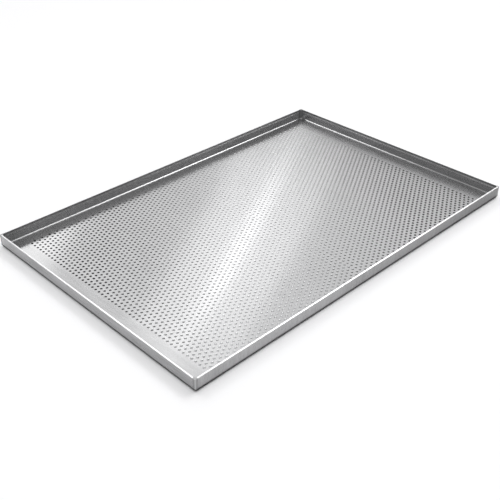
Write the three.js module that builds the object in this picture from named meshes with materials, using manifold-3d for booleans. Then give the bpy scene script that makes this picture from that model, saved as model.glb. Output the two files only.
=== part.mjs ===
// A flat perforated baking tray: one aluminium sheet folded up on four sides, with its corners welded.
// Millimetres, +Z up. The origin is on the underside, at the middle of the tray. +X runs along the long
// side and +Y along the short side. The floor's fine perforation is left out of the solid.

import * as THREE from 'three';
import { mergeVertices } from 'three/addons/utils/BufferGeometryUtils.js';
import Module from 'manifold-3d';

// Driving dimensions
const LENGTH = 600; // outside, along X
const WIDTH = 400; // outside, along Y
const HEIGHT = 18.6; // outside, from the underside to the rim
const SHEET = 2; // thickness of the aluminium sheet
const INNER_BEND = 2; // inside radius of the fold between the floor and a flange
const CORNER_ROUND = 1.2; // radius of the ground outer edge of each upright corner
const BEND_STEPS = 8; // straight pieces in a quarter turn of a fold
const OVERSHOOT = 5; // how far a cutting solid runs past what it cuts

// Derived dimensions
const OUTER_BEND = INNER_BEND + SHEET;
const CORNER_ZONE = OUTER_BEND; // each flange stops this far short of the corner, and the weld fills the rest
const BEAD = CORNER_ZONE - SHEET; // leg of the fillet that the weld leaves inside the corner

const wasm = await Module();
wasm.setup();

/** Turns a closed three.js geometry into a solid that can be joined and cut. */
function toSolid(geometry) {
  const bare = new THREE.BufferGeometry();
  bare.setAttribute('position', geometry.getAttribute('position').clone());
  if (geometry.index) bare.setIndex(geometry.index.clone());
  const merged = mergeVertices(bare, 1e-4);
  const mesh = new wasm.Mesh({
    numProp: 3,
    vertProperties: Float32Array.from(merged.getAttribute('position').array),
    triVerts: Uint32Array.from(merged.index.array),
  });
  return new wasm.Manifold(mesh);
}

/** Turns a solid back into a three.js geometry with flat shading. */
function toGeometry(solid) {
  const { vertProperties, triVerts } = solid.getMesh();
  const geometry = new THREE.BufferGeometry();
  geometry.setAttribute('position', new THREE.BufferAttribute(Float32Array.from(vertProperties), 3));
  geometry.setIndex(new THREE.BufferAttribute(Uint32Array.from(triVerts), 1));
  const facets = geometry.toNonIndexed();
  facets.computeVertexNormals();
  return facets;
}

/** A trough section, open at the top: flat below, with a round fold of the given radius at each side. */
function troughSection(span, radius, bottom, top) {
  const half = span / 2;
  const shape = new THREE.Shape();
  shape.moveTo(-half, top);
  shape.lineTo(-half, bottom + radius);
  shape.absarc(-half + radius, bottom + radius, radius, Math.PI, 1.5 * Math.PI, false);
  shape.lineTo(half - radius, bottom);
  shape.absarc(half - radius, bottom + radius, radius, -0.5 * Math.PI, 0, false);
  shape.lineTo(half, top);
  shape.closePath();
  return shape;
}

/** A bar of the trough section that runs along X. */
function troughAlongX(span, radius, bottom, top, length) {
  const section = troughSection(span, radius, bottom, top);
  const bar = new THREE.ExtrudeGeometry(section, { depth: length, bevelEnabled: false, curveSegments: BEND_STEPS });
  bar.translate(0, 0, -length / 2);
  bar.rotateX(Math.PI / 2); // the section's height becomes Z
  bar.rotateZ(Math.PI / 2); // and its length becomes X
  return toSolid(bar);
}

/** A bar of the trough section that runs along Y. */
function troughAlongY(span, radius, bottom, top, length) {
  const section = troughSection(span, radius, bottom, top);
  const bar = new THREE.ExtrudeGeometry(section, { depth: length, bevelEnabled: false, curveSegments: BEND_STEPS });
  bar.translate(0, 0, -length / 2);
  bar.rotateX(Math.PI / 2);
  return toSolid(bar);
}

/** A dish-shaped block: both pairs of bottom edges are folds, mitred where they meet in the corners. */
function dishBlock(length, width, radius, bottom, top) {
  const alongX = troughAlongX(width, radius, bottom, top, length);
  const alongY = troughAlongY(length, radius, bottom, top, width);
  return alongX.intersect(alongY);
}

/** An upright block whose four upright edges are rounded. */
function roundedUpright(length, width, radius, bottom, top) {
  const x = length / 2;
  const y = width / 2;
  const outline = new THREE.Shape();
  outline.moveTo(-x + radius, -y);
  outline.lineTo(x - radius, -y);
  outline.absarc(x - radius, -y + radius, radius, -0.5 * Math.PI, 0, false);
  outline.lineTo(x, y - radius);
  outline.absarc(x - radius, y - radius, radius, 0, 0.5 * Math.PI, false);
  outline.lineTo(-x + radius, y);
  outline.absarc(-x + radius, y - radius, radius, 0.5 * Math.PI, Math.PI, false);
  outline.lineTo(-x, -y + radius);
  outline.absarc(-x + radius, -y + radius, radius, Math.PI, 1.5 * Math.PI, false);
  const block = new THREE.ExtrudeGeometry(outline, {
    depth: top - bottom,
    bevelEnabled: false,
    curveSegments: BEND_STEPS,
  });
  block.translate(0, 0, bottom);
  return toSolid(block);
}

/** The whole tray as one shell, before it is divided into the sheet and its welds. */
function trayShell() {
  const outside = dishBlock(LENGTH, WIDTH, OUTER_BEND, 0, HEIGHT)
    .intersect(roundedUpright(LENGTH, WIDTH, CORNER_ROUND, -OVERSHOOT, HEIGHT + OVERSHOOT));
  const inside = dishBlock(LENGTH - 2 * SHEET, WIDTH - 2 * SHEET, INNER_BEND, SHEET, HEIGHT + OVERSHOOT);
  return outside.subtract(inside);
}

/** The upright square block that bounds the weld of one corner; signX and signY say which corner. */
function cornerZone(signX, signY) {
  const side = CORNER_ZONE + OVERSHOOT;
  const block = new THREE.BoxGeometry(side, side, HEIGHT + 2 * OVERSHOOT);
  const x = LENGTH / 2 - CORNER_ZONE + side / 2;
  const y = WIDTH / 2 - CORNER_ZONE + side / 2;
  block.translate(signX * x, signY * y, HEIGHT / 2);
  return toSolid(block);
}

/** The fillet that the weld leaves inside a corner: a concave three-sided bar from the floor to the rim. */
function cornerBead(signX, signY) {
  const outline = new THREE.Shape();
  outline.moveTo(BEAD, BEAD);
  outline.lineTo(0, BEAD);
  outline.absarc(0, 0, BEAD, 0.5 * Math.PI, 0, true);
  outline.closePath();
  const bar = new THREE.ExtrudeGeometry(outline, {
    depth: HEIGHT - SHEET,
    bevelEnabled: false,
    curveSegments: BEND_STEPS,
  });
  if (signX * signY < 0) bar.rotateZ(signX > 0 ? -Math.PI / 2 : Math.PI / 2);
  if (signX < 0 && signY < 0) bar.rotateZ(Math.PI);
  bar.translate(signX * (LENGTH / 2 - CORNER_ZONE), signY * (WIDTH / 2 - CORNER_ZONE), SHEET);
  return toSolid(bar);
}

const CORNERS = [
  ['front', -1, -1],
  ['right', 1, -1],
  ['back', 1, 1],
  ['left', -1, 1],
];

/** The folded sheet: the shell without its four corners. */
function panSheet(shell) {
  return CORNERS.reduce((solid, [, signX, signY]) => solid.subtract(cornerZone(signX, signY)), shell);
}

/** One weld: the shell's corner with the fillet inside it. */
function cornerWeld(shell, signX, signY) {
  return shell.intersect(cornerZone(signX, signY)).add(cornerBead(signX, signY));
}

/** A named mesh with a material of its own. */
function namedMesh(name, solid, look) {
  const mesh = new THREE.Mesh(toGeometry(solid), new THREE.MeshStandardMaterial(look));
  mesh.name = name;
  return mesh;
}

const MILLED_ALUMINIUM = { color: 0xc9cacb, roughness: 0.36, metalness: 1 };
const GROUND_WELD = { color: 0xd6d7d8, roughness: 0.48, metalness: 1 };

const tray = new THREE.Group();
tray.name = 'baguette_tray';

const shell = trayShell();
tray.add(namedMesh('pan_sheet', panSheet(shell), MILLED_ALUMINIUM));
for (const [where, signX, signY] of CORNERS) {
  tray.add(namedMesh(`corner_weld_${where}`, cornerWeld(shell, signX, signY), GROUND_WELD));
}

export default tray;
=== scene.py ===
import math

import bmesh
import bpy
import numpy as np
from mathutils import Matrix, Vector


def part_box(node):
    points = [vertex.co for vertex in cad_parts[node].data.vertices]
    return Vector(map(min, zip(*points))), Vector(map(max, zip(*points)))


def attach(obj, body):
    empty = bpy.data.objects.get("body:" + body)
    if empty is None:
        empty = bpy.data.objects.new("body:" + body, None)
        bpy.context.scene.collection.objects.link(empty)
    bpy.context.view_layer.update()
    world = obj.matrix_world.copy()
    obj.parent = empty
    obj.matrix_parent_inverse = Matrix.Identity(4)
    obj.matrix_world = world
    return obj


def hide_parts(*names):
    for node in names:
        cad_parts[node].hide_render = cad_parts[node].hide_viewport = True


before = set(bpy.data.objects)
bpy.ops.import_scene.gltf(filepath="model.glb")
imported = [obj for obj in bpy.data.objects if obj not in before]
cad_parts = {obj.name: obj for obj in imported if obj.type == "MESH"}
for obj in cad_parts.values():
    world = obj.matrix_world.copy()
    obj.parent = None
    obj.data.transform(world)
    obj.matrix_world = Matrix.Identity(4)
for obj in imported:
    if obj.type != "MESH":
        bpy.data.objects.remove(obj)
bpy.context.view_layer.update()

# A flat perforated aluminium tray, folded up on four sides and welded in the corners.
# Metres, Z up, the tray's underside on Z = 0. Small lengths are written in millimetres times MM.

MM = 0.001
QUARTER_TURN = 0.5 * math.pi

# ---------------------------------------------------------------- sizes, from the CAD boxes

_, (HALF_X, HALF_Y, HEIGHT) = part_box("pan_sheet")
weld_low, weld_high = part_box("corner_weld_right")
OUTER_BEND = weld_high[0] - weld_low[0]  # a weld fills a square as wide as the fold's outer radius
SHEET = 2.0 * MM
INNER_BEND = OUTER_BEND - SHEET
FLAT_X = HALF_X - OUTER_BEND  # the floor is flat as far as here
FLAT_Y = HALF_Y - OUTER_BEND

# ---------------------------------------------------------------- perforation

HOLE_RADIUS = 1.5 * MM
ROLL_OVER = 0.22 * MM  # the punch draws the upper edge of each hole in by this much
ROLL_DEPTH = 0.8 * ROLL_OVER
COLUMN_STEP = 6.005 * MM
HOLE_STEP = 7.035 * MM
COLUMNS = 90
FIRST_COLUMN_X = -268.5 * MM
FIELD_Y = -2.6 * MM  # middle of every column of holes
SEAM_COLUMN = 45  # two press strokes meet here, and the stagger starts again
SHORT_COLUMN = 51  # holes in a column, which alternate between this and one more
REACH = SHORT_COLUMN + 1  # half hole steps from the middle row to the outermost corner of a cell
RING = 12  # points round a hole
CELL_CORNERS = ((1, 0), (1, 1), (-1, 1), (-1, 0), (-1, -1), (1, -1))  # side, and half steps up or down

# ---------------------------------------------------------------- flanges

BEND_STEPS = 10
WALL_STEPS = 8
RIM_STEPS = 6
RIM_DROP = 0.70 * MM  # how far the cut edge falls away to the outside
WALL_BOW = 0.12 * MM  # how far a flange wanders from a straight line

# ---------------------------------------------------------------- corner welds

BEAD_WIDTH = 2.6 * MM  # how far the bead inside a corner lies over each flange
BEAD_BULGE = 0.9 * MM
BEAD_POINTS = 15
BEAD_TAPER = 1.6 * MM  # the bead narrows over this height below the rim
BEAD_TRAIL = 1.1 * MM  # the ends of a ripple lag this far behind its middle
RIPPLE_PITCH = 1.5 * MM
RIPPLE_DEPTH = 0.22 * MM
GROUND_RADIUS = 1.2 * MM
GROUND_WAVER = 0.04 * MM  # the ground round is uneven by this much
GROUND_POINTS = 7
WELD_TOP_DIP = 0.35 * MM  # the ground top of a weld is this much lower than the rim
WELD_LEVELS = 72
EMBED = 0.03 * MM  # how deep the bead's edges sink into the flanges
BEAD_FIRST = GROUND_POINTS + 2  # where the inside begins in a section of a weld

# ---------------------------------------------------------------- material slots

FLAT_PATTERN = "flat_pattern"  # each point's place in the unfolded sheet, as texture coordinates
TOP, OUTSIDE, RIM, PUNCHED, ROLLED, UNDER = range(6)
GROUND, BEAD, FLANK = range(3)


# ---------------------------------------------------------------- mesh tools

def smoothstep(low, high, x):
    """0 at low, 1 at high, and a smooth change between; low may be the larger of the two."""
    t = min(max((x - low) / (high - low), 0.0), 1.0)
    return t * t * (3.0 - 2.0 * t)


class MeshMaker:
    """Collects points, faces and a flat-pattern coordinate for each point, then makes one mesh object."""

    def __init__(self):
        self.points = []
        self.flat = []
        self.faces = []
        self.slots = []

    def point(self, x, y, z, u=None, v=None):
        self.points.append((x, y, z))
        self.flat.append((x if u is None else u, y if v is None else v))
        return len(self.points) - 1

    def face(self, corners, slot=0):
        self.faces.append(tuple(corners))
        self.slots.append(slot)

    def build(self, name, materials):
        mesh = bpy.data.meshes.new(name)
        mesh.from_pydata(self.points, [], self.faces)
        for material in materials:
            mesh.materials.append(material)
        mesh.polygons.foreach_set("material_index", self.slots)
        corner_points = np.empty(len(mesh.loops), dtype=np.int32)
        mesh.loops.foreach_get("vertex_index", corner_points)
        layer = mesh.uv_layers.new(name=FLAT_PATTERN)
        layer.data.foreach_set("uv", np.asarray(self.flat)[corner_points].ravel())
        mesh.validate()
        mesh.update()
        thing = bpy.data.objects.new(name, mesh)
        bpy.context.collection.objects.link(thing)
        return thing


def smooth_by_angle(thing, degrees):
    """Smooth shading, except over edges sharper than the angle."""
    thing.data.shade_smooth()
    thing.data.set_sharp_from_angle(angle=math.radians(degrees))


def clean_up(thing):
    """Joins points that fall together and turns every face outwards."""
    work = bmesh.new()
    work.from_mesh(thing.data)
    bmesh.ops.remove_doubles(work, verts=work.verts, dist=0.002 * MM)
    bmesh.ops.dissolve_degenerate(work, edges=work.edges, dist=0.0005 * MM)
    bmesh.ops.recalc_face_normals(work, faces=work.faces)
    work.to_mesh(thing.data)
    work.free()


# ---------------------------------------------------------------- the perforated sheet

def holes_in_column(column):
    """How many holes a column has: the stagger makes every other column one hole longer."""
    since_seam = column - SEAM_COLUMN if column >= SEAM_COLUMN else column
    return SHORT_COLUMN + since_seam % 2


def line_x(line):
    """X of the line between two columns of holes."""
    return FIRST_COLUMN_X + (line - 0.5) * COLUMN_STEP


def lattice_y(half_steps):
    """Y of a point of the lattice, counted in half hole steps from the middle row."""
    return FIELD_Y + half_steps * HOLE_STEP / 2.0


def hole_rings(maker, x, y):
    """The three rings of points of one hole: upper edge, throat and lower edge."""
    upper, throat, lower = [], [], []
    for i in range(RING):
        angle = 2.0 * math.pi * i / RING
        across, along = math.cos(angle), math.sin(angle)
        wide = HOLE_RADIUS + ROLL_OVER
        upper.append(maker.point(x + wide * across, y + wide * along, SHEET))
        px, py = x + HOLE_RADIUS * across, y + HOLE_RADIUS * along
        throat.append(maker.point(px, py, SHEET - ROLL_DEPTH))
        lower.append(maker.point(px, py, 0.0))
    return upper, throat, lower


def hole_cell(maker, rings, top_corners, low_corners):
    """The sheet round one hole: upper face, rolled edge, punched wall and lower face. The cell's six
    corners run counter-clockwise from the middle of its +X side."""
    upper, throat, lower = rings
    sectors = len(top_corners)
    arc_step = RING // sectors
    for s in range(sectors):
        following = (s + 1) % sectors
        arc = [i % RING for i in range(s * arc_step, (s + 1) * arc_step + 1)]
        maker.face([top_corners[s], top_corners[following], *(upper[i] for i in reversed(arc))], TOP)
        maker.face([low_corners[following], low_corners[s], *(lower[i] for i in arc)], UNDER)
    for i in range(RING):
        j = (i + 1) % RING
        maker.face([upper[i], upper[j], throat[j], throat[i]], ROLLED)
        maker.face([throat[i], throat[j], lower[j], lower[i]], PUNCHED)


def lattice_line(maker, line):
    """One line between two columns of holes: its X, its lattice points on the upper and lower face, and
    its ends at the folds of the two long sides."""
    x = line_x(line)
    steps = range(-REACH, REACH + 1)
    upper = {h: maker.point(x, lattice_y(h), SHEET) for h in steps}
    lower = {h: maker.point(x, lattice_y(h), 0.0) for h in steps}
    ends = {}
    for side in (-1, 1):
        y = side * FLAT_Y
        ends[side] = (maker.point(x, y, SHEET), maker.point(x, y, 0.0))
    return x, upper, lower, ends


def add_column(maker, column, left, right):
    """One column of holes, with the plain sheet beyond both of its ends."""
    _, left_upper, left_lower, left_ends = left
    _, right_upper, right_lower, right_ends = right
    x = FIRST_COLUMN_X + column * COLUMN_STEP
    count = holes_in_column(column)
    for j in range(count):
        h = 2 * j - (count - 1)
        top_corners = [(right_upper if side > 0 else left_upper)[h + step] for side, step in CELL_CORNERS]
        low_corners = [(right_lower if side > 0 else left_lower)[h + step] for side, step in CELL_CORNERS]
        hole_cell(maker, hole_rings(maker, x, lattice_y(h)), top_corners, low_corners)
    for side in (-1, 1):
        heights = [side * h for h in range(count, REACH + 1)]
        for level, slot in ((0, TOP), (1, UNDER)):
            left_side = [(left_upper, left_lower)[level][h] for h in heights] + [left_ends[side][level]]
            right_side = [(right_upper, right_lower)[level][h] for h in heights] + [right_ends[side][level]]
            loop = right_side + left_side[::-1]
            counter_clockwise = (side > 0) == (level == 0)
            maker.face(loop if counter_clockwise else loop[::-1], slot)


def add_end_margin(maker, side, end_line, corners):
    """The plain strip between the outermost line of the lattice and the fold at a short side. Returns
    the strip's points along the fold."""
    _, upper, lower, ends = end_line
    x = side * FLAT_X
    edge = [(-FLAT_Y, *corners[side, -1])]
    line = [ends[-1]]
    for h in range(-REACH, REACH + 1):
        y = lattice_y(h)
        edge.append((y, maker.point(x, y, SHEET), maker.point(x, y, 0.0)))
        line.append((upper[h], lower[h]))
    edge.append((FLAT_Y, *corners[side, 1]))
    line.append(ends[1])
    for i in range(len(line) - 1):
        top = [line[i][0], edge[i][1], edge[i + 1][1], line[i + 1][0]]
        low = [line[i][1], edge[i][2], edge[i + 1][2], line[i + 1][1]]
        maker.face(top if side > 0 else top[::-1], TOP)
        maker.face(low[::-1] if side > 0 else low, UNDER)
    return edge


def wall_bow(along, half_length, up):
    """How far a flange leans out of line: nothing in the corners, little at the fold, most at the rim."""
    ends = 1.0 - (along / half_length) ** 2
    wave = math.sin(along * 11.0 + 0.7) + 0.6 * math.sin(along * 27.0 + 2.1)
    return -WALL_BOW * up * ends * (0.6 + 0.4 * wave)


def flange_profile():
    """Pairs of points (out, up) on the inner and outer side of a flange, from the fold to the rim, then
    the rim's own points from the inner side to the outer, and the flat-pattern length at each pair."""
    pairs, lengths = [], []
    for i in range(BEND_STEPS + 1):
        turn = QUARTER_TURN * i / BEND_STEPS
        inner = (INNER_BEND * math.sin(turn), OUTER_BEND - INNER_BEND * math.cos(turn))
        outer = (OUTER_BEND * math.sin(turn), OUTER_BEND - OUTER_BEND * math.cos(turn))
        pairs.append((inner, outer))
        lengths.append(0.5 * (INNER_BEND + OUTER_BEND) * turn)
    fold_length = lengths[-1]
    outer_top = HEIGHT - RIM_DROP
    for i in range(1, WALL_STEPS + 1):
        share = i / WALL_STEPS
        inner = (INNER_BEND, OUTER_BEND + (HEIGHT - OUTER_BEND) * share)
        outer = (OUTER_BEND, OUTER_BEND + (outer_top - OUTER_BEND) * share)
        pairs.append((inner, outer))
        lengths.append(fold_length + (HEIGHT - OUTER_BEND) * share)
    rim = []
    for i in range(1, RIM_STEPS):
        turn = QUARTER_TURN * i / RIM_STEPS
        rim.append((INNER_BEND + SHEET * math.sin(turn), outer_top + RIM_DROP * math.cos(turn)))
    return pairs, rim, lengths


def add_flange(maker, stations, half_length, place, flat_place):
    """One flange along its stations, which are (position along, upper point, lower point). place turns
    (along, out, up) into X, Y, Z, and flat_place turns (along, length) into flat-pattern coordinates."""
    pairs, rim, lengths = flange_profile()
    inner_rows, rim_rows, outer_rows = [], [], []
    for along, upper, lower in stations:
        inner_row, outer_row = [upper], [lower]
        for (inner, outer), length in zip(pairs[1:], lengths[1:]):
            lean = wall_bow(along, half_length, inner[1] / HEIGHT)
            uv = flat_place(along, length)
            inner_row.append(maker.point(*place(along, inner[0] + lean, inner[1]), *uv))
            outer_row.append(maker.point(*place(along, outer[0] + lean, outer[1]), *uv))
        lean = wall_bow(along, half_length, 1.0)
        rim_row = [inner_row[-1]]
        for out, up in rim:
            uv = flat_place(along, lengths[-1] + out - INNER_BEND)
            rim_row.append(maker.point(*place(along, out + lean, up), *uv))
        rim_row.append(outer_row[-1])
        inner_rows.append(inner_row)
        outer_rows.append(outer_row)
        rim_rows.append(rim_row)
    for k in range(len(stations) - 1):
        add_strip(maker, inner_rows[k], inner_rows[k + 1], TOP)
        add_strip(maker, rim_rows[k], rim_rows[k + 1], RIM)
        add_strip(maker, outer_rows[k + 1], outer_rows[k], OUTSIDE)
    add_cut_end(maker, inner_rows[0], rim_rows[0], outer_rows[0], True)
    add_cut_end(maker, inner_rows[-1], rim_rows[-1], outer_rows[-1], False)


def add_strip(maker, row_a, row_b, slot):
    """Quads between two rows of points."""
    for i in range(len(row_a) - 1):
        maker.face([row_a[i], row_b[i], row_b[i + 1], row_a[i + 1]], slot)


def add_cut_end(maker, inner_row, rim_row, outer_row, first):
    """The sheet's cut end, where the flange meets a weld."""
    for i in range(len(inner_row) - 1):
        quad = [inner_row[i], inner_row[i + 1], outer_row[i + 1], outer_row[i]]
        maker.face(quad if first else quad[::-1], OUTSIDE)
    maker.face(rim_row if first else rim_row[::-1], OUTSIDE)


def add_long_flange(maker, side, lines, corners):
    """The flange of a long side, over the ends of all the lines between the columns."""
    stations = [(-FLAT_X, *corners[-1, side])]
    stations += [(x, *ends[side]) for x, _, _, ends in lines]
    stations.append((FLAT_X, *corners[1, side]))
    if side > 0:
        stations.reverse()
    add_flange(
        maker, stations, FLAT_X,
        lambda along, out, up: (along, side * (FLAT_Y + out), up),
        lambda along, length: (along, side * (FLAT_Y + length)),
    )


def add_short_flange(maker, side, edge):
    """The flange of a short side, over the points of its plain margin."""
    add_flange(
        maker, edge[::-1] if side < 0 else edge, FLAT_Y,
        lambda along, out, up: (side * (FLAT_X + out), along, up),
        lambda along, length: (side * (FLAT_X + length), along),
    )


def perforated_sheet(materials):
    """The whole folded sheet as one closed mesh."""
    maker = MeshMaker()
    lines = [lattice_line(maker, line) for line in range(COLUMNS + 1)]
    for column in range(COLUMNS):
        add_column(maker, column, lines[column], lines[column + 1])
    corners = {}
    for sx in (-1, 1):
        for sy in (-1, 1):
            x, y = sx * FLAT_X, sy * FLAT_Y
            corners[sx, sy] = (maker.point(x, y, SHEET), maker.point(x, y, 0.0))
    edges = {}
    for side, end_line in ((-1, lines[0]), (1, lines[-1])):
        edges[side] = add_end_margin(maker, side, end_line, corners)
    for side in (-1, 1):
        add_long_flange(maker, side, lines, corners)
        add_short_flange(maker, side, edges[side])
    tray_sheet = maker.build("perforated_sheet", materials)
    smooth_by_angle(tray_sheet, 35.0)
    return tray_sheet


# ---------------------------------------------------------------- the corner welds

def outer_reach(z):
    """How far the outer faces stand from the end of the flat floor at a height."""
    if z >= OUTER_BEND:
        return OUTER_BEND
    return math.sqrt(max(OUTER_BEND**2 - (OUTER_BEND - z) ** 2, 0.0))


def inner_reach(z):
    """The same for the inner faces, which start at the floor's upper face."""
    if z <= SHEET:
        return 0.0
    if z >= OUTER_BEND:
        return INNER_BEND
    return math.sqrt(max(INNER_BEND**2 - (OUTER_BEND - z) ** 2, 0.0))


def ground_outline(z, seed):
    """The outside of a weld at one level, from one flange round to the other."""
    out = outer_reach(z)
    waver = GROUND_WAVER * math.sin(z / MM * 2.3 + seed * 1.7)
    radius = min(GROUND_RADIUS + waver, out * 0.6)
    centre = out - radius
    outline = [(0.0, out)]
    for i in range(GROUND_POINTS):
        turn = QUARTER_TURN * (1.0 - i / (GROUND_POINTS - 1.0))
        outline.append((centre + radius * math.cos(turn), centre + radius * math.sin(turn)))
    outline.append((out, 0.0))
    return outline


def bead_outline(z, seed):
    """The bead inside a weld at one level, on the way back. At the floor's level it is one point."""
    if z <= SHEET:
        return [(0.0, 0.0)] * (BEAD_POINTS + 2)
    face = inner_reach(z)
    fade = smoothstep(HEIGHT, HEIGHT - BEAD_TAPER, z)
    toe = BEAD_WIDTH * (0.55 + 0.45 * fade) * (1.0 + 0.10 * math.sin(z / MM * 1.9 + seed))
    outline = [(face, 0.0)]
    for i in range(BEAD_POINTS):
        share = i / (BEAD_POINTS - 1)
        middle = 4.0 * share * (1.0 - share)
        a = face + EMBED - (toe + face) * share
        b = -toe + (toe + face + EMBED) * share
        trail = z + BEAD_TRAIL * (1.0 - middle)
        ripple = abs(math.sin(math.pi * (trail / RIPPLE_PITCH + 0.23 * seed)))
        push = BEAD_BULGE * middle - RIPPLE_DEPTH * ripple * math.sqrt(middle)
        lift = 0.7071 * (0.35 * (toe + face) * middle - push)
        outline.append((a + lift, b + lift))
    outline.append((0.0, face))
    return outline


def weld_slot(i, count):
    """The material slot of the strip after point i of a section with count points."""
    if BEAD_FIRST <= i < count - 1:
        return BEAD
    return GROUND if 1 <= i < GROUND_POINTS else FLANK


def corner_weld(name, sx, sy, seed, materials):
    """A weld as one closed mesh: ground outside, rippled bead inside, from the underside to the rim."""
    maker = MeshMaker()
    top = HEIGHT - WELD_TOP_DIP
    rows = []
    for level in range(WELD_LEVELS + 1):
        z = top * level / WELD_LEVELS
        section = ground_outline(z, seed) + bead_outline(z, seed)
        rows.append([maker.point(sx * (FLAT_X + a), sy * (FLAT_Y + b), z, a, z) for a, b in section])
    count = len(rows[0])
    for lower, higher in zip(rows[:-1], rows[1:]):
        for i in range(count):
            j = (i + 1) % count
            maker.face([lower[j], lower[i], higher[i], higher[j]], weld_slot(i, count))
    maker.face(rows[-1], GROUND)
    maker.face(rows[0], GROUND)
    weld = maker.build(name, materials)
    clean_up(weld)
    smooth_by_angle(weld, 40.0)
    return weld


# ---------------------------------------------------------------- materials

FACE_DULLING = ((0.10, HALF_X, 0.22), (-0.268, -0.276, 0.10))  # from X, to X, share of brightness lost
OUTSIDE_DULLING = ((-0.10, HALF_X, 0.52),)
PAINTED_FOLD_SHADE = (5.2 * MM, 3.0 * MM)  # the painted shade at the foot of the outer walls begins and is full here
PAINTED_FOLD_SHADE_LEAST = 0.07  # the share of the brightness that it leaves
PAINTED_HOLE_SHADE = (0.06, 0.30)  # the painted shade in the holes begins and is full where X and Y differ by this much
RUBBED_LIFT = 0.50  # how much the brightest rubbed patches gain where the band has a strength of 1


class Look:
    """A material and short calls for its nodes."""

    def __init__(self, name):
        self.material = bpy.data.materials.new(name)
        self.material.use_nodes = True
        self.nodes = self.material.node_tree.nodes
        self.links = self.material.node_tree.links
        self.shader = self.nodes["Principled BSDF"]

    def node(self, kind, **settings):
        made = self.nodes.new(kind)
        for key, value in settings.items():
            setattr(made, key, value)
        return made

    def link(self, source, target):
        self.links.new(source, target)

    def set(self, socket, value):
        """Sets a shader socket to a number, or links it to a node's output."""
        if isinstance(value, (int, float)):
            self.shader.inputs[socket].default_value = value
        else:
            self.link(value, self.shader.inputs[socket])

    def coordinates(self, scale, flat=True):
        """The flat pattern's or the object's own coordinates, stretched."""
        if flat:
            source = self.node("ShaderNodeUVMap", uv_map=FLAT_PATTERN).outputs["UV"]
        else:
            source = self.node("ShaderNodeTexCoord").outputs["Object"]
        mapping = self.node("ShaderNodeMapping")
        mapping.inputs["Scale"].default_value = scale
        self.link(source, mapping.inputs["Vector"])
        return mapping.outputs["Vector"]

    def place(self):
        """X, Y and Z of the object's own coordinates, as a node with three outputs."""
        made = self.node("ShaderNodeSeparateXYZ")
        self.link(self.node("ShaderNodeTexCoord").outputs["Object"], made.inputs["Vector"])
        return made.outputs

    def noise(self, vector, detail=4.0, rough=0.55, distortion=0.0):
        made = self.node("ShaderNodeTexNoise")
        made.inputs["Scale"].default_value = 1.0
        made.inputs["Detail"].default_value = detail
        made.inputs["Roughness"].default_value = rough
        made.inputs["Distortion"].default_value = distortion
        self.link(vector, made.inputs["Vector"])
        return made.outputs["Fac"]

    def ramp(self, value, low, high, from_value, to_value):
        """Maps low..high to from_value..to_value."""
        made = self.node("ShaderNodeMapRange")
        made.inputs["From Min"].default_value = low
        made.inputs["From Max"].default_value = high
        made.inputs["To Min"].default_value = from_value
        made.inputs["To Max"].default_value = to_value
        self.link(value, made.inputs["Value"])
        return made.outputs["Result"]

    def maths(self, operation, first, second):
        made = self.node("ShaderNodeMath", operation=operation)
        for slot, value in ((0, first), (1, second)):
            if isinstance(value, (int, float)):
                made.inputs[slot].default_value = value
            else:
                self.link(value, made.inputs[slot])
        return made.outputs[0]

    def times(self, first, second):
        return self.maths("MULTIPLY", first, second)

    def grey(self, value):
        """A colour whose three parts are the value, very slightly cool."""
        made = self.node("ShaderNodeCombineColor")
        self.link(value, made.inputs["Red"])
        self.link(value, made.inputs["Green"])
        self.link(self.times(value, 1.01), made.inputs["Blue"])
        return made.outputs["Color"]

    def bump(self, height, strength, distance):
        made = self.node("ShaderNodeBump")
        made.inputs["Strength"].default_value = strength
        made.inputs["Distance"].default_value = distance
        self.link(height, made.inputs["Height"])
        return made.outputs["Normal"]


def rubbed_band(look, along, height):
    """A factor that is higher in a patchy band near the top of a flange, and lower right under the rim.
    The band is stronger towards +X."""
    patches = look.noise(look.coordinates((14.0, 14.0, 220.0), flat=False), 4.0, 0.6)
    strength = look.ramp(along, -0.15, 0.25, 0.7, 2.4)
    lift = look.times(look.ramp(patches, 0.35, 0.65, 0.15, RUBBED_LIFT), strength)
    rise = look.ramp(height, 12.2 * MM, 13.6 * MM, 0.0, 1.0)
    fall = look.ramp(height, 14.8 * MM, 15.8 * MM, 1.0, 0.0)
    band = look.times(look.times(rise, fall), lift)
    under_rim = look.ramp(height, 15.2 * MM, 16.4 * MM, 1.0, 0.78)
    return look.times(look.maths("ADD", band, 1.0), under_rim)


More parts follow.
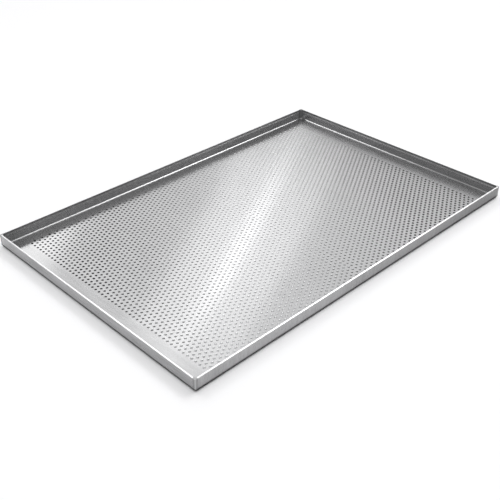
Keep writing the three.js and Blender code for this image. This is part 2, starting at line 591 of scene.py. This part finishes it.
def rolled_sheet(name, brightness, variation, roughness, anisotropy, grain_strength, dulling,
                 metallic=1.0, rubbed=False, painted_foot_shade=False):
    """Mill-finish sheet. Its grain runs along the short side of the blank, so it stands upright on the
    long flanges and lies along the short ones. dulling lists the stretches along X over which the metal
    loses some of its brightness, and painted_foot_shade puts painted shade at the foot of the walls."""
    look = Look(name)
    place = look.place()
    grain = look.noise(look.coordinates((2600.0, 45.0, 1.0)), 3.0)
    clouds = look.noise(look.coordinates((9.0, 6.0, 1.0)), 5.0, 0.6)
    smears = look.noise(look.coordinates((220.0, 24.0, 1.0)), 4.0, 0.6, 0.4)
    stain = look.maths("ADD", look.ramp(clouds, 0.3, 0.7, -0.5, 0.5), look.ramp(smears, 0.3, 0.7, -0.5, 0.5))
    value = look.ramp(stain, -1.0, 1.0, brightness - variation, brightness + variation)
    for start, end, loss in dulling:
        value = look.times(value, look.ramp(place["X"], start, end, 1.0, 1.0 - loss))
    if rubbed:
        value = look.times(value, rubbed_band(look, place["X"], place["Z"]))
    soft = look.ramp(clouds, 0.3, 0.7, 0.93 * roughness, 1.07 * roughness)
    rough = look.maths("ADD", soft, look.ramp(smears, 0.3, 0.7, -0.03, 0.03))
    # Painted shade at the foot of the walls: the colour darkens there, and the metal turns rough and dull.
    if painted_foot_shade:
        value = look.times(value, look.ramp(place["Z"], *PAINTED_FOLD_SHADE, 1.0, PAINTED_FOLD_SHADE_LEAST))
        rough = look.maths("MAXIMUM", rough, look.ramp(place["Z"], *PAINTED_FOLD_SHADE, 0.2, 0.65))
        metallic = look.ramp(place["Z"], *PAINTED_FOLD_SHADE, 1.0, 0.05)
        look.set("Specular IOR Level", 0.0)
    look.set("Base Color", look.grey(value))
    look.set("Roughness", rough)
    look.set("Metallic", metallic)
    look.set("Anisotropic", anisotropy)
    tangent = look.node("ShaderNodeTangent", direction_type="UV_MAP", uv_map=FLAT_PATTERN)
    look.set("Tangent", tangent.outputs["Tangent"])
    look.set("Normal", look.bump(grain, grain_strength, 0.02 * MM))
    return look.material


def paint_hole_shade(look, value, least):
    """Painted shade in the holes, none near the line where X equals Y, which passes the front and back
    corners at some distance, and full towards the other two corners, where it leaves only the given share
    of the brightness."""
    place = look.place()
    offset = look.maths("ABSOLUTE", look.maths("SUBTRACT", place["X"], place["Y"]), 0.0)
    return look.times(value, look.ramp(offset, *PAINTED_HOLE_SHADE, 1.0, least))


def paint_fold_shade(look, value):
    """Painted shade at the foot of a weld, where the fold turns under."""
    return look.times(value, look.ramp(look.place()["Z"], *PAINTED_FOLD_SHADE, 1.0, PAINTED_FOLD_SHADE_LEAST))


def cut_metal(name, brightness, roughness, scratch_scale, strength, painted_shade=None):
    """A cut, punched or ground face: no grain of the sheet, fine tool marks of its own, and painted shade
    where one is given.
    """
    look = Look(name)
    marks = look.noise(look.coordinates(scratch_scale, flat=False), 4.0, 0.65)
    value = look.ramp(marks, 0.25, 0.75, 0.82 * brightness, min(1.12 * brightness, 0.98))
    if painted_shade:
        value = painted_shade(look, value)
    look.set("Base Color", look.grey(value))
    look.set("Roughness", look.ramp(marks, 0.25, 0.75, 0.85 * roughness, 1.15 * roughness))
    look.set("Metallic", 1.0)
    look.set("Normal", look.bump(marks, strength, 0.05 * MM))
    return look.material


def sheet_face():
    """The floor's upper face and the inner faces of the flanges."""
    return rolled_sheet("sheet_face", 0.64, 0.035, 0.19, 0.95, 0.25, FACE_DULLING, 0.92, rubbed=True)


def sheet_outside():
    """The outer faces of the flanges, duller and rougher than the inside, with painted shade at their foot.
    """
    return rolled_sheet("sheet_outside", 0.43, 0.10, 0.28, 0.80, 0.35, OUTSIDE_DULLING, painted_foot_shade=True)


def sheet_under():
    """The underside of the floor."""
    return rolled_sheet("sheet_under", 0.45, 0.06, 0.26, 0.80, 0.35, FACE_DULLING)


def cut_rim():
    """The sheet's bare cut edge along the top of the flanges."""
    return cut_metal("cut_rim", 0.92, 0.30, (900.0, 900.0, 60.0), 0.3)


def punched_wall():
    """The wall of a hole, with painted shade towards the left and right corners."""
    return cut_metal("punched_wall", 0.80, 0.38, (900.0, 900.0, 300.0), 0.3,
                     lambda look, value: paint_hole_shade(look, value, 0.02))


def rolled_edge():
    """The upper edge of a hole, which the punch drew in, with painted shade towards the left and right
    corners.
    """
    return cut_metal("rolled_edge", 0.70, 0.26, (900.0, 900.0, 300.0), 0.2,
                     lambda look, value: paint_hole_shade(look, value, 0.04))


def weld_ground():
    """The ground round of a corner, and the top and foot of a weld, with painted shade at the foot."""
    return cut_metal("weld_ground", 0.48, 0.42, (500.0, 500.0, 2600.0), 0.6, paint_fold_shade)


def weld_flank():
    """The part of a weld that is flush with the outer face of a flange, and its sides, with painted shade at
    the foot.
    """
    return cut_metal("weld_flank", 0.33, 0.42, (500.0, 500.0, 2600.0), 0.6, paint_fold_shade)


def weld_bead():
    """The bead inside a corner, left as it was laid."""
    return cut_metal("weld_bead", 0.20, 0.42, (700.0, 700.0, 700.0), 0.3)


# ---------------------------------------------------------------- the tray

SHEET_LOOKS = [sheet_face(), sheet_outside(), cut_rim(), punched_wall(), rolled_edge(), sheet_under()]
WELD_LOOKS = [weld_ground(), weld_bead(), weld_flank()]
CORNERS = (("front", -1, -1), ("right", 1, -1), ("back", 1, 1), ("left", -1, 1))

tray = perforated_sheet(SHEET_LOOKS)
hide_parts("pan_sheet")
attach(tray, "root")

for number, (where, sign_x, sign_y) in enumerate(CORNERS):
    piece = corner_weld(f"weld_{where}", sign_x, sign_y, number, WELD_LOOKS)
    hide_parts(f"corner_weld_{where}")
    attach(piece, "root")

# ---------------------------------------------------------------- studio

STAGE_SIZE = 14.0
STAGE_DROP = 0.1 * MM
STAGE_GREY = 0.93

SIDEWAYS = (0.707, -0.707, 0.0)
CAMERA_SIDE = (-0.58, -0.60, 0.55)
AMBIENT = 0.84
AMBIENT_RIGHT = 0.15
AMBIENT_LEFT = 0.25
AMBIENT_PATCH = 0.35

BACK_TILT = (-0.707, 0.0, 0.707)
LEVEL = (-0.707, 0.707, 0.0)
# name: direction from the tray, distance, size, radiance, and what its long side lies along
LAMPS = {
    "strip_light": ((0.563, 0.609, 0.563), 6.0, (1.2, 0.10), 1.55, BACK_TILT),
    "glow_softbox": ((0.55, 0.609, 0.58), 6.2, (1.6, 0.9), 0.62, BACK_TILT),
    "left_softbox": ((0.30, 0.80, 0.50), 5.0, (1.6, 0.7), 0.80, BACK_TILT),
    "left_rim_light": ((-0.02, 0.61, 0.79), 4.0, (1.2, 1.2), 2.2, LEVEL),
    "left_fold_light": ((0.58, -0.28, 0.76), 4.0, (1.6, 1.6), 2.4, LEVEL),
    "right_fold_light": ((-0.22, 0.61, 0.76), 4.0, (0.9, 1.1), 2.4, LEVEL),
    "right_rim_light": ((0.61, 0.06, 0.785), 4.0, (1.4, 1.4), 4.5, LEVEL),
    "front_softbox": ((-0.28, -0.24, 0.93), 4.0, (2.2, 2.2), 3.0, LEVEL),
}


def softbox(name, towards, distance, size, radiance, along):
    """A rectangular lamp that faces the tray from a direction, with its X side lying along another."""
    data = bpy.data.lights.new(name, "AREA")
    data.shape = "RECTANGLE"
    data.size, data.size_y = size
    data.energy = radiance * math.pi * size[0] * size[1]
    lamp = bpy.data.objects.new(name, data)
    back = Vector(towards).normalized()
    x_side = (Vector(along) - Vector(along).dot(back) * back).normalized()
    y_side = back.cross(x_side)
    lamp.location = back * distance
    lamp.rotation_mode = "QUATERNION"
    lamp.rotation_quaternion = Matrix((x_side, y_side, back)).transposed().to_quaternion()
    bpy.context.collection.objects.link(lamp)


class WorldNodes:
    """Short calls for the nodes of the world."""

    def __init__(self, world):
        self.nodes = world.node_tree.nodes
        self.links = world.node_tree.links
        self.background = self.nodes["Background"]
        self.direction = self.nodes.new("ShaderNodeTexCoord").outputs["Generated"]

    def link(self, source, target):
        self.links.new(source, target)

    def towards(self, axis):
        """How far a direction points along an axis, from -1 to 1."""
        made = self.nodes.new("ShaderNodeVectorMath")
        made.operation = "DOT_PRODUCT"
        made.inputs[1].default_value = axis
        self.link(self.direction, made.inputs[0])
        return made.outputs["Value"]

    def fall(self, value, start, end, from_value, to_value):
        """A smooth change from one value to another while the input goes from start to end."""
        made = self.nodes.new("ShaderNodeMapRange")
        made.interpolation_type = "SMOOTHSTEP"
        made.inputs["From Min"].default_value = start
        made.inputs["From Max"].default_value = end
        made.inputs["To Min"].default_value = from_value
        made.inputs["To Max"].default_value = to_value
        self.link(value, made.inputs["Value"])
        return made.outputs["Result"]

    def maths(self, operation, first, second):
        made = self.nodes.new("ShaderNodeMath")
        made.operation = operation
        self.link(first, made.inputs[0])
        self.link(second, made.inputs[1])
        return made.outputs[0]


def studio_world():
    """Even light from all round, with darker sides and a dark patch in front of the tray."""
    world = bpy.data.worlds.new("studio")
    bpy.context.scene.world = world
    world.use_nodes = True
    look = WorldNodes(world)
    look.background.inputs["Color"].default_value = (1.0, 1.0, 1.0, 1.0)
    sideways = look.towards(SIDEWAYS)
    right = look.fall(sideways, 0.35, 0.75, AMBIENT, AMBIENT_RIGHT)
    left = look.fall(sideways, -0.35, -0.75, AMBIENT, AMBIENT_LEFT)
    patch = look.fall(look.towards(CAMERA_SIDE), 0.80, 0.95, 1.0, AMBIENT_PATCH)
    strength = look.maths("MULTIPLY", look.maths("MINIMUM", right, left), patch)
    look.link(strength, look.background.inputs["Strength"])


def pale_floor():
    """A plain pale floor, just under the tray."""
    half = STAGE_SIZE / 2.0
    mesh = bpy.data.meshes.new("stage_floor")
    corners = [(-half, -half, 0.0), (half, -half, 0.0), (half, half, 0.0), (-half, half, 0.0)]
    mesh.from_pydata(corners, [], [(0, 1, 2, 3)])
    look = Look("stage_floor")
    tone = look.noise(look.coordinates((0.8, 0.8, 0.8), flat=False), 2.0)
    look.set("Base Color", look.grey(look.ramp(tone, 0.3, 0.7, STAGE_GREY - 0.01, STAGE_GREY + 0.01)))
    look.set("Roughness", 0.9)
    look.set("Specular IOR Level", 0.1)
    mesh.materials.append(look.material)
    floor = bpy.data.objects.new("stage_floor", mesh)
    floor.location.z = -STAGE_DROP
    bpy.context.collection.objects.link(floor)


studio_world()
for lamp_name, settings in LAMPS.items():
    softbox(lamp_name, *settings)
pale_floor()

# ---------------------------------------------------------------- camera

CAMERA_AZIMUTH = math.radians(-44.39)
CAMERA_ELEVATION = math.radians(33.42)
CAMERA_AIM = (-0.0656, -0.0433, 0.0)
CAMERA_DISTANCE = 1.0843
CAMERA_LENS = 57.85
CAMERA_SENSOR = 36.0


def add_camera():
    """A level camera that looks at its aim from the front corner, and the plain view transform."""
    data = bpy.data.cameras.new("camera")
    data.lens = CAMERA_LENS
    data.sensor_width = CAMERA_SENSOR
    camera = bpy.data.objects.new("camera", data)
    bpy.context.collection.objects.link(camera)
    away = Vector((
        math.sin(CAMERA_AZIMUTH) * math.cos(CAMERA_ELEVATION),
        -math.cos(CAMERA_AZIMUTH) * math.cos(CAMERA_ELEVATION),
        math.sin(CAMERA_ELEVATION),
    ))
    camera.location = Vector(CAMERA_AIM) + away * CAMERA_DISTANCE
    camera.rotation_mode = "QUATERNION"
    camera.rotation_quaternion = (-away).to_track_quat("-Z", "Y")
    bpy.context.scene.camera = camera
    bpy.context.scene.view_settings.view_transform = "Standard"


add_camera()
